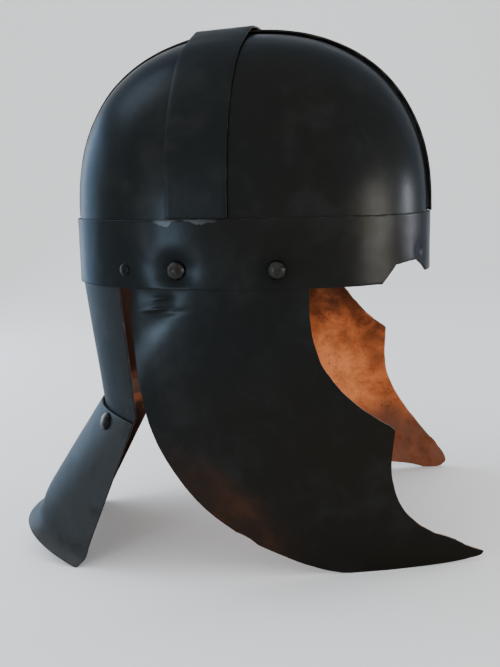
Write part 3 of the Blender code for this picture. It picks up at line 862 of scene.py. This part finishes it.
def skull_plate_tree():
    tree = Shape("skull_plate", PLATE_INPUTS)
    wire = tree.inputs
    size = {"Size X": 1.0, "Size Y": 1.0, "Vertices X": wire["Columns"], "Vertices Y": wire["Rows"]}
    flat = tree.add("GeometryNodeMeshGrid", {}, size)
    u, v, _ = tree.parts(tree.add("GeometryNodeInputPosition"))
    climb = (v + 0.5) * wire["Rows"] - 1.0
    down = (-climb).largest(0.0).smallest(1.0) * wire["Tuck"]
    climb = climb.largest(0.0) / (wire["Rows"] - 1.0) * (math.pi / 2)
    angle = wire["Start Angle"] + (wire["End Angle"] - wire["Start Angle"]) * (u + 0.5)
    length, width = wire["Half Length"], wire["Half Width"]
    square, full = wire["Squareness"], wire["Fullness"]
    ahead = length * tree.math("COSINE", angle).signed_power(2.0 / square)
    right = wire["Side"] * width * tree.math("SINE", angle).signed_power(2.0 / square)
    share = tree.math("COSINE", climb).largest(0.0) ** (2.0 / full)
    ahead = wire["Corner Ahead"] + (ahead - wire["Corner Ahead"]) * share
    right = wire["Corner Right"] + (right - wire["Corner Right"]) * share
    reach = (abs(ahead) / length) ** square + (abs(right) / width) ** square
    left_over = (1.0 - reach ** (full / square)).largest(0.0)
    up = wire["Brow Height"] + wire["Rise"] * left_over ** (1.0 / full) - down
    moved = tree.add("ShaderNodeCombineXYZ", {}, (-right, -ahead, up))
    dome = tree.add("GeometryNodeSetPosition", {}, {"Geometry": flat, "Position": moved})
    return tree.end(tree.add("GeometryNodeRealizeInstances", {}, {"Geometry": dome}))


plate_tree = skull_plate_tree()
print("skull plate tree nodes:", len(plate_tree.nodes.nodes))

# %% Four skull plates
DOME_SIZES = {"Half Length": HALF_LENGTH - STEP, "Half Width": HALF_WIDTH - STEP, "Rise": SKULL_RISE,
              "Brow Height": BROW_HEIGHT, "Tuck": PLATE_TUCK, "Squareness": SQUARENESS,
              "Fullness": FULLNESS, "Columns": PLATE_COLUMNS, "Rows": PLATE_ROWS, "Finish": outside}


def cross_line(right):
    """How far ahead the middle of the side-to-side band runs."""
    return -CROSS_BACK - right * math.tan(math.radians(CROSS_SKEW_ANGLE))


def make_skull_plate(name, node, ahead, side):
    half_gap = CLEARANCE / 2
    width = HALF_WIDTH - STEP
    seam = cross_line(side * width) + ahead * half_gap
    seam_angle = math.acos(signed_power(seam / (HALF_LENGTH - STEP), SQUARENESS / 2))
    ridge_angle = math.asin((half_gap / width) ** (SQUARENESS / 2))
    start = ridge_angle if ahead > 0 else math.pi - ridge_angle
    values = {"Side": float(side), "Start Angle": start, "End Angle": seam_angle,
              "Corner Ahead": -CROSS_BACK + ahead * half_gap, "Corner Right": side * half_gap}
    made = plate_tree.run(name + "_face", {**DOME_SIZES, **values})
    face = bmesh.new()
    face.from_mesh(made.data)
    bpy.data.objects.remove(made)
    return make_sheet(name, face, [node], BROW_FINISHES)


for front in (1, -1):
    for side in (1, -1):
        label = ("front" if front > 0 else "rear") + ("_right" if side > 0 else "_left")
        make_skull_plate("dome_" + label, "skull_plate_" + label, front, side)

# %% [markdown]
# ## The crossing bands
#
# Two flat strips of sheet hold the plates together. The first runs front to back. The second runs from
# side to side, a little askew, and climbs over the first at the crown. The first is flat across ahead of
# the crown, and the second at the crossing and low down. Elsewhere both have their edges bent a little
# towards the dome. The edges throw the dark lines that the helmet is known by.

# %% Crossing bands
RIDGE_WIDTH = 34 * MM
RIDGE_HUG = 1.1 * MM
RIDGE_HUG_RUN = 60 * MM
CROSS_HUG = 1.1 * MM
CROSS_HUG_FROM = 20 * MM
CROSS_HUG_RUN = 12 * MM
CROSS_HUG_RISE = 32 * MM
CROSS_WIDTH = 38 * MM
CROSS_CLIMB = 2.7 * MM
CROSS_RAMP_START = 46 * MM
CROSS_RAMP_END = 18 * MM
BAND_STATIONS = 200
BAND_COLUMNS = 12
END_ROUNDS = 6


def over_skull(forward, right, lift):
    """Height of a sheet over the dome at a place seen from above, and its outward direction there."""
    length = HALF_LENGTH - STEP + lift
    width = HALF_WIDTH - STEP + lift
    rise = SKULL_RISE + lift
    reach = (abs(forward) / length) ** SQUARENESS + (abs(right) / width) ** SQUARENESS
    left_over = max(0.0, 1 - reach ** (FULLNESS / SQUARENESS))
    height = BROW_HEIGHT + max(rise * left_over ** (1 / FULLNESS), CLEARANCE)
    spread = reach ** (FULLNESS / SQUARENESS - 1)
    ahead = spread * signed_power(forward / length, SQUARENESS - 1) / length
    aside = spread * signed_power(right / width, SQUARENESS - 1) / width
    above = signed_power((height - BROW_HEIGHT) / rise, FULLNESS - 1) / rise
    return height, place(ahead, aside, above).normalized()


def band_shares():
    """Steps along a band, as shares of the way out, from 1 at one end to -1 at the other."""
    angles = [math.pi * j / BAND_STATIONS for j in range(BAND_STATIONS + 1)]
    return [signed_power(math.cos(angle), 2 / FULLNESS) for angle in angles]


def strip_rows(middles, halves, hugs):
    """Rows across a strip, from its middle line and its half width. The hugs bend its edges inwards."""
    shares = [2 * i / BAND_COLUMNS - 1 for i in range(BAND_COLUMNS + 1)]
    return [[middle + half * share - hug * abs(share) ** SQUARENESS for share in shares]
            for middle, half, hug in zip(middles, halves, hugs)]


def ridge_rows():
    """Rows of the front-to-back band. Behind the crown it hugs the dome, and ahead of it it is flat."""
    middles = []
    hugs = []
    for share in band_shares():
        forward = HALF_LENGTH * share
        height, outward = over_skull(forward, 0.0, STEP)
        middles.append(place(forward, 0.0, height))
        hugs.append(outward * RIDGE_HUG * smooth_step(-forward / RIDGE_HUG_RUN))
    return strip_rows(middles, [place(0, RIDGE_WIDTH / 2, 0)] * len(middles), hugs)


def cross_end(side):
    """How far out the side-to-side band ends, over the brow band's outer face."""
    right = side * HALF_WIDTH
    for _ in range(END_ROUNDS):
        right = side * oval_side(cross_line(right), 0.0)
    return right


def cross_lift(right):
    share = (CROSS_RAMP_START - abs(right)) / (CROSS_RAMP_START - CROSS_RAMP_END)
    return STEP + CROSS_CLIMB * smooth_step(share)


def cross_rows():
    """Rows of the side-to-side band. It climbs over the other band and hugs the dome beside it."""
    middles = []
    outwards = []
    hugs = []
    for share in band_shares():
        right = abs(share) * cross_end(math.copysign(1, share))
        height, outward = over_skull(cross_line(right), right, cross_lift(right))
        middles.append(place(cross_line(right), right, height))
        outwards.append(outward)
        beside = smooth_step((abs(right) - CROSS_HUG_FROM) / CROSS_HUG_RUN)
        high_up = smooth_step((height - BROW_HEIGHT - CROSS_HUG_RISE) / CROSS_HUG_RISE)
        hugs.append(outward * CROSS_HUG * beside * high_up)
    onward = [after - before for before, after in zip(middles, middles[2:])]
    onward = [Vector((0, 0, 1)), *onward, Vector((0, 0, -1))]
    halves = [outward.cross(way).normalized() * CROSS_WIDTH / 2 for outward, way in zip(outwards, onward)]
    return strip_rows(middles, halves, hugs)


make_sheet("ridge_strip", grid_mesh(ridge_rows()), ["band_front_to_back"], BAND_FINISHES)
make_sheet("cross_strip", grid_mesh(cross_rows()), ["band_side_to_side"], BAND_FINISHES)

# %% [markdown]
# ## The cheek plates
#
# Each cheek plate is one big leaf of sheet. It follows the brow band above and is flatter below. The
# two were cut by hand to different lines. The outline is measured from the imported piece, level by level,
# and eased between its corners, so the finished edge is a sweep and not a string of straight cuts. The
# right one is folded a little under its rear rivet, where the same blows drove it in.

# %% Measure a cheek's outline
CHEEK_TOP = 25 * MM
CHEEK_BEND_HEIGHT = 70 * MM
CHEEK_EASE = 0.3 * MM
CHEEK_SIDE = 91 * MM
CHEEK_CLOSING = 10 * MM
CHEEK_REACH = 149.5 * MM
CHEEK_STEP = 1.25 * MM
CHEEK_FINE_STEP = 0.3 * MM
CHEEK_FINE_FROM = 22 * MM
CHEEK_COLUMNS = 120
CREASED_FROM = -27 * MM
CREASED_STEP = 0.6 * MM
CHEEK_NEAREST = 0.25 * MM
CHEEK_FIRST = 0.05 * MM
CHEEK_LAST = 0.1 * MM
CHEEK_EASE_REACH = 4 * MM
SAME_LEVEL = 0.001 * MM


def outline_between(node, levels):
    """Rear and front edge of a packed sheet at each level, as distances ahead."""
    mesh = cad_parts[node].data
    mesh.calc_loop_triangles()
    back = rest.inverted()
    points = np.array([back @ v.co for v in mesh.vertices])
    corners = np.array([t.vertices[:] for t in mesh.loop_triangles])
    starts = points[corners.ravel()]
    ends = points[np.roll(corners, -1, axis=1).ravel()]
    edges = []
    for z in levels:
        crossing = (starts[:, 2] - z) * (ends[:, 2] - z) < 0
        share = (z - starts[crossing, 2]) / (ends[crossing, 2] - starts[crossing, 2])
        ahead = -(starts[crossing, 1] + share * (ends[crossing, 1] - starts[crossing, 1]))
        edges.append((ahead.min(), ahead.max()))
    return np.array(edges), points[:, 2].min()


def spaced(levels, kept):
    """Sorts levels and drops those that lie too near another one, but none of the kept ones."""
    chosen = list(kept)
    for z in levels:
        if min(abs(z - c) for c in chosen) > CHEEK_NEAREST:
            chosen.append(z)
    return np.sort(chosen)


def eased(levels, edge, corners):
    """Smooths an edge between its corners."""
    smooth = edge.copy()
    for i, z in enumerate(levels):
        room = min([abs(z - c) for c in corners] + [CHEEK_EASE_REACH])
        smooth[i] = edge[np.abs(levels - z) <= max(room, SAME_LEVEL)].mean()
    return smooth


print("cheek outlines are measured at every", CHEEK_STEP / MM, "mm")

# %% Cheek plates
CREASE_PLACES = (
    # ahead, height, length, thickness and depth of each soft crease, in mm
    (-52.0, -5.0, 11.0, 12.0, 1.90),
    (-47.0, -5.5, 5.0, 1.2, 0.45),
    (-50.0, -12.5, 7.0, 1.3, 0.55),
    (-40.0, -14.0, 9.0, 1.9, 0.25),
)
CREASE_SLANT = 0.12


def cheek_side(forward, height):
    above = oval_side(forward, STEP + CHEEK_EASE)
    below = CHEEK_SIDE - CHEEK_CLOSING * (forward / CHEEK_REACH) ** 2
    return above + (below - above) * smooth_step(-height / CHEEK_BEND_HEIGHT)


def creases(forward, height):
    depth = 0.0
    for ahead, up, length, thick, deep in CREASE_PLACES:
        beside = forward / MM - ahead
        over = height / MM - up - CREASE_SLANT * beside
        depth += deep * MM * bell(beside / length) * bell(over / thick)
    return depth


def cheek_rows(node, side, corners):
    lowest = outline_between(node, [0.0])[1]
    start = lowest + CHEEK_FIRST
    fine = np.arange(start, start + CHEEK_FINE_FROM, CHEEK_FINE_STEP)
    coarse = np.arange(start + CHEEK_FINE_FROM, CHEEK_TOP - CHEEK_LAST, CHEEK_STEP)
    creased = np.arange(CREASED_FROM, 0.0, CREASED_STEP)
    levels = spaced(np.concatenate([fine, creased, coarse]), corners)
    edges, _ = outline_between(node, levels)
    below = levels < 0
    rear, front = edges[:, 0].copy(), edges[:, 1].copy()
    rear[below] = eased(levels[below], edges[below, 0], [levels[0], 0.0])
    front[below] = eased(levels[below], edges[below, 1], [levels[0], 0.0, *corners])
    rows = []
    for z, back_edge, front_edge in zip(levels, rear, front):
        row = []
        if z < 0:
            back_edge += abs(uneven(place(back_edge, 0, z), 5.0))
            front_edge -= abs(uneven(place(front_edge, 0, z), 8.0))
        for i in range(CHEEK_COLUMNS + 1):
            forward = back_edge + (front_edge - back_edge) * i / CHEEK_COLUMNS
            out = cheek_side(forward, z)
            if side > 0:
                out -= dent(forward, z) + creases(forward, z)
            row.append(place(forward, side * out, z))
        rows.append(row)
    return rows


RIGHT_CORNERS = (-87.7 * MM, -166.1 * MM)
LEFT_CORNERS = (-52.6 * MM,)
for label, side, corners in (("right", 1, RIGHT_CORNERS), ("left", -1, LEFT_CORNERS)):
    node = "cheek_plate_" + label
    make_sheet(label + "_cheek", grid_mesh(cheek_rows(node, side, corners)), [node], CHEEK_FINISHES)

# %% [markdown]
# ## The neck guard
#
# Two lames hang at the back. The upper one is a curved wall that narrows a little downwards. The lower
# one flares out behind it like a tail, sits a little askew, and ends in a lip that is turned outwards.

# %% Neck guard
UPPER_TUCK = 20 * MM
UPPER_DROP = 84 * MM
UPPER_DRAW_IN = 10.5 * MM
UPPER_HALF_ANGLE = 52.2
UPPER_TAB_HALF_ANGLE = 60.5
UPPER_TAB_START = 3 * MM
UPPER_TAB_END = 0.5 * MM
UPPER_BEND_START = 4 * MM
LAME_OVERLAP = 15 * MM
LOWER_DROP_RIGHT = 113 * MM
LOWER_DROP_LEFT = 111.5 * MM
LOWER_DROP_BACK = 93 * MM
LOWER_SLANT = math.radians(34.0)
LOWER_NARROWING = 20 * MM
LOWER_ANGLE_RIGHT = 53.4
LOWER_ANGLE_LEFT = 44.0
LOWER_TOP_DIP = 4.3 * MM
LIP_HEIGHT = 8 * MM
LIP_FLARE = 4.5 * MM
LIP_GROOVE = 1.1 * MM
LIP_GROOVE_WIDTH = 5 * MM
LIP_LESS_BEHIND = 3.2 * MM
LIP_LESS_RUN = 30 * MM
LAME_COLUMNS = 110
LAME_ROWS = 60
OVERLAP_ROWS = 9


def lower_limit(degrees):
    return (LOWER_DROP_RIGHT, LOWER_ANGLE_RIGHT) if degrees > 0 else (LOWER_DROP_LEFT, LOWER_ANGLE_LEFT)


def lower_drop(degrees):
    """Depth of the lower lame's bottom edge, which rises from both corners to the back."""
    corner, limit = lower_limit(degrees)
    return LOWER_DROP_BACK + (corner - LOWER_DROP_BACK) * (degrees / limit) ** 2


def lip(degrees, depth):
    """How far the lip stands out: a groove first, then the turned edge."""
    to_edge = lower_drop(degrees) - depth
    flare = LIP_FLARE * smooth_step(1 - to_edge / LIP_HEIGHT)
    groove = LIP_GROOVE * bell((to_edge - LIP_HEIGHT * 1.25) / LIP_GROOVE_WIDTH)
    behind = LIP_LESS_BEHIND * (1 - (degrees / lower_limit(degrees)[1]) ** 2)
    return flare - groove - behind * smooth_step(1 - to_edge / LIP_LESS_RUN)


def neck_point(degrees, depth, inset):
    """Point of the lower lame. 0 degrees is the back and 90 the wearer's right."""
    half_length = HALF_LENGTH - UPPER_DRAW_IN + depth * math.tan(LOWER_SLANT) + lip(degrees, depth)
    half_length -= inset / math.cos(LOWER_SLANT)
    half_width = HALF_WIDTH - LOWER_NARROWING * depth / LOWER_DROP_RIGHT - inset
    return place(*oval(180 - degrees, half_length, half_width), -UPPER_DROP - depth)


def lower_top(degrees):
    """Depth of the lower lame's top edge, which dips at both corners."""
    return LOWER_TOP_DIP * (degrees / LOWER_ANGLE_RIGHT) ** 4


def lower_rows():
    angles = np.linspace(-LOWER_ANGLE_LEFT, LOWER_ANGLE_RIGHT, LAME_COLUMNS + 1)
    rows = []
    for share in np.linspace(0.0, 1.0, LAME_ROWS + 1):
        rows.append([neck_point(a, lower_top(a) * (1 - share) + lower_drop(a) * share, 0.0) for a in angles])
    return rows


def upper_wall(degrees, height):
    """Point of the upper lame above its bend."""
    inset = STEP + UPPER_DRAW_IN * max(0.0, -height) / UPPER_DROP
    return place(*oval(180 - degrees, HALF_LENGTH - inset, HALF_WIDTH - STEP), height)


def upper_rows():
    rows = []
    for height in np.linspace(UPPER_TUCK, UPPER_BEND_START - UPPER_DROP, LAME_ROWS):
        tab = smooth_step((height - UPPER_TAB_END) / (UPPER_TAB_START - UPPER_TAB_END))
        half = UPPER_HALF_ANGLE + (UPPER_TAB_HALF_ANGLE - UPPER_HALF_ANGLE) * tab
        rows.append([upper_wall(a, height) for a in np.linspace(-half, half, LAME_COLUMNS + 1)])
    for share in np.linspace(0.0, 1.0, OVERLAP_ROWS):
        left = UPPER_HALF_ANGLE + (LOWER_ANGLE_LEFT - UPPER_HALF_ANGLE) * share
        angles = np.linspace(-left, UPPER_HALF_ANGLE, LAME_COLUMNS + 1)
        rows.append([neck_point(a, LAME_OVERLAP * share, STEP) for a in angles])
    return rows


make_sheet("upper_lame", grid_mesh(upper_rows()), ["neck_lame_upper"], UPPER_LAME_FINISHES)
make_sheet("lower_lame", grid_mesh(lower_rows()), ["neck_lame_lower"], LOWER_LAME_FINISHES)

# %% [markdown]
# ## The rivets
#
# A rivet has a hammered dome outside and a flat tail inside. The same shape repeats, so one Geometry
# Nodes tree makes all of them. A ball is pressed to a dome and another to the tail. Both are set on each
# point of a small mesh, turned to the direction that the point carries. The dents are added last, from a
# noise that reads the place on the helmet, so no two rivets come out alike.

# %% Rivet tree
RIVET_NUMBERS = ("Head Radius", "Dome", "Tail Radius", "Tail Depth", "Grip", "Hammering")
RIVET_INPUTS = {**dict.fromkeys(RIVET_NUMBERS, NUMBER), "Finish": MATERIAL}
RIVET_FOOT = 0.04
BALL_SEGMENTS = 48
BALL_RINGS = 32


def pressed_ball(tree, radius, height, drop):
    """A ball pressed to a dome with a flat foot."""
    size = {"Segments": BALL_SEGMENTS, "Rings": BALL_RINGS, "Radius": 1.0}
    ball = tree.add("GeometryNodeMeshUVSphere", {}, size)
    x, y, z = tree.parts(tree.add("GeometryNodeInputPosition"))
    up = z.largest(-RIVET_FOOT) * height - drop
    moved = tree.add("ShaderNodeCombineXYZ", {}, (x * radius, y * radius, up))
    return tree.add("GeometryNodeSetPosition", {}, {"Geometry": ball, "Position": moved})


def rivet_tree():
    tree = Shape("rivet", RIVET_INPUTS)
    wire = tree.inputs
    head = pressed_ball(tree, wire["Head Radius"], wire["Dome"], 0.0)
    tail = pressed_ball(tree, wire["Tail Radius"], -wire["Tail Depth"], wire["Grip"])
    tail = tree.add("GeometryNodeFlipFaces", {}, {"Mesh": tail})
    both = tree.add("GeometryNodeJoinGeometry")
    for part in (head, tail):
        tree.nodes.links.new(part.socket, both.socket.node.inputs[0])
    outward = tree.add("GeometryNodeInputNamedAttribute", {"data_type": "FLOAT_VECTOR"}, {"Name": "outward"})
    turned = tree.add("FunctionNodeAlignRotationToVector", {"axis": "Z"}, {"Vector": outward})
    values = {"Points": wire["Geometry"], "Instance": both, "Rotation": turned}
    rivets = tree.add("GeometryNodeInstanceOnPoints", {}, values)
    rivets = tree.add("GeometryNodeRealizeInstances", {}, {"Geometry": rivets})
    dents = tree.noise(tree.add("GeometryNodeInputPosition"), FACET_SCALE, 1.0)
    normal = tree.add("GeometryNodeInputNormal")
    depth = (dents - 0.5) * wire["Hammering"]
    push = tree.add("ShaderNodeVectorMath", {"operation": "SCALE"}, {"Vector": normal, "Scale": depth})
    rivets = tree.add("GeometryNodeSetPosition", {}, {"Geometry": rivets, "Offset": push})
    return tree.end(rivets)


rivets_tree = rivet_tree()
print("rivet tree nodes:", len(rivets_tree.nodes.nodes))

# %% Eight rivets
RIVET_FRONT = 24.4 * MM
RIVET_SEAT = 0.8 * MM
RIVET_HEAD = 12.0 * MM
CHEEK_DOME = 4.2 * MM
LOWER_RIVET_ANGLE = 36.5
LOWER_RIVET_DEPTH = 7.6 * MM
UPPER_RIVET_ANGLE = 57.0
UPPER_RIVET_HEAD = 8 * MM
UPPER_DOME = 0.3 * MM
RIVET_TAIL = 8 * MM
TAIL_DEPTH = 1.2 * MM
GRIP = 2 * STEP + CHEEK_EASE
HAMMERING = 0.6 * MM
LEAST_HAMMERING = 0.2


def outward_at(wall, degrees):
    """Outward direction of a wall, from the places beside it and over it."""
    beside = wall(degrees + 0.5, 0.0) - wall(degrees - 0.5, 0.0)
    up = wall(degrees, MM) - wall(degrees, -MM)
    outward = beside.cross(up).normalized()
    point = wall(degrees, 0.0)
    return outward if outward.dot(Vector((point.x, point.y, 0))) > 0 else -outward


def brow_face(angle, up):
    return brow_wall(angle, RIVET_HEIGHT + up)


def lame_face(angle, up):
    return neck_point(angle, LOWER_RIVET_DEPTH - up, 0.0)


def make_rivets(where, which, wall, angle, head, dome, finish):
    """Makes one piece with a rivet on each side of the helmet."""
    name = f"{where}_rivets_{which}"
    nodes = [f"{where}_rivet_{side}_{which}" for side in ("right", "left")]
    angles = (angle, -angle)
    points = [wall(a, 0.0) for a in angles]
    base = bpy.data.meshes.new(name)
    base.from_pydata(points, [], [])
    outward = base.attributes.new("outward", "FLOAT_VECTOR", "POINT")
    for i, degrees in enumerate(angles):
        outward.data[i].vector = outward_at(wall, degrees)
    hammering = HAMMERING * min(1.0, dome / CHEEK_DOME + LEAST_HAMMERING)
    values = {"Head Radius": head / 2, "Dome": RIVET_SEAT + dome, "Tail Radius": RIVET_TAIL / 2,
              "Tail Depth": TAIL_DEPTH, "Grip": GRIP, "Hammering": hammering, "Finish": finish}
    thing = rivets_tree.run(name, values, base)
    stand(thing)
    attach(thing, "root")
    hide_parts(*nodes)
    print(name, "triangles:", count(thing))


RIVET_PAIRS = (
    # part of the helmet, place there, wall, angle, head, dome and finish of both rivets
    ("cheek", "rear", brow_face, oval_angle(RIVET_REAR), RIVET_HEAD, CHEEK_DOME, rivet_light),
    ("cheek", "front", brow_face, oval_angle(RIVET_FRONT), RIVET_HEAD, CHEEK_DOME, rivet_light),
    ("neck", "lower", lame_face, LOWER_RIVET_ANGLE, RIVET_HEAD, CHEEK_DOME / 2, rivet_dark),
    ("neck", "upper", brow_face, 180 - UPPER_RIVET_ANGLE, UPPER_RIVET_HEAD, UPPER_DOME, rivet_dark),
)
for row in RIVET_PAIRS:
    make_rivets(*row)

# %% [markdown]
# ## The studio
#
# The helmet stands on a pale sheet that sweeps up behind it, so no horizon shows. A dark metal looks
# like what stands round it, and the side towards the camera stays dark. A broad lamp behind draws the
# bluish light along the back, a narrow one beside the camera picks out the folds, and a high one lights
# the crown. A low one in front leaves the patch on the forehead, and one ahead reaches the copper inside.

# %% Pale sweep
SWEEP_NEAR = -1.4
SWEEP_FAR = 1.0
SWEEP_BEND = 0.7
SWEEP_TOP = 1.9
SWEEP_HALF_WIDTH = 2.4
SWEEP_STEPS = 24
PAPER_WHITE = (0.80, 0.80, 0.79, 1)


def level(way):
    """The direction on the floor that lies under a direction."""
    return Vector((way.x, way.y, 0)).normalized()


def make_sweep():
    away = level(camera.matrix_world.to_3x3() @ Vector((0, 0, -1)))
    across = Vector((away.y, -away.x, 0))
    profile = [(SWEEP_NEAR, 0.0)]
    for i in range(SWEEP_STEPS + 1):
        angle = math.pi / 2 * i / SWEEP_STEPS
        profile.append((SWEEP_FAR + SWEEP_BEND * math.sin(angle), SWEEP_BEND * (1 - math.cos(angle))))
    profile.append((SWEEP_FAR + SWEEP_BEND, SWEEP_TOP))
    rows = [[away * far + across * side * SWEEP_HALF_WIDTH + Vector((0, 0, up)) for side in (-1, 1)]
            for far, up in profile]
    mesh = grid_mesh(rows)
    paper = Finish("pale_paper").feed(Base_Color=PAPER_WHITE, Roughness=0.9)
    sweep = as_object("pale_sweep", mesh, (paper,))
    sweep.data.shade_smooth()


make_sweep()
print("pale sweep ready")

# %% Lamps and surroundings
LAMPS = (
    # name, turn from the camera side towards the back of the helmet in degrees, distance and height in
    # metres, width and height of the lamp, power in watts, colour
    ("rim_lamp", 125.0, 1.15, 0.40, 0.80, 0.7, 10.0, (0.64, 0.81, 1.00)),
    ("window_lamp", 42.0, 1.10, 0.24, 0.10, 0.22, 2.6, (0.62, 0.78, 1.00)),
    ("high_lamp", 105.0, 0.75, 1.20, 0.60, 0.60, 5.0, (0.74, 0.87, 1.00)),
    ("front_lamp", -98.0, 1.10, 0.13, 0.20, 0.14, 4.6, (0.93, 0.93, 1.00)),
    ("copper_lamp", -62.0, 0.95, 0.14, 0.30, 0.22, 3.4, (1.00, 0.94, 0.88)),
)
AIM_HEIGHT = 0.17
WORLD_COLOUR = (0.97, 0.98, 1.00, 1)
WORLD_STRENGTH = 1.30


def add_lamp(name, turn, distance, up, width, height, power, colour):
    data = bpy.data.lights.new(name, "AREA")
    set_up(data, shape="RECTANGLE", size=width, size_y=height, energy=power, color=colour)
    lamp = new_object(name, data)
    angle = math.radians(turn) - CAMERA_AHEAD
    heading = level(rest.to_3x3() @ direction(-math.sin(angle), math.cos(angle), 0))
    spot = heading * distance + Vector((0, 0, up))
    lamp.location = spot
    lamp.rotation_euler = (Vector((0, 0, AIM_HEIGHT)) - spot).to_track_quat("-Z", "Y").to_euler()


for lamp in LAMPS:
    add_lamp(*lamp)

world = bpy.data.worlds.new("pale_room")
world.use_nodes = True
sky = world.node_tree.nodes["Background"]
sky.inputs["Color"].default_value = WORLD_COLOUR
sky.inputs["Strength"].default_value = WORLD_STRENGTH
bpy.context.scene.world = world
print("lamps:", len(LAMPS))
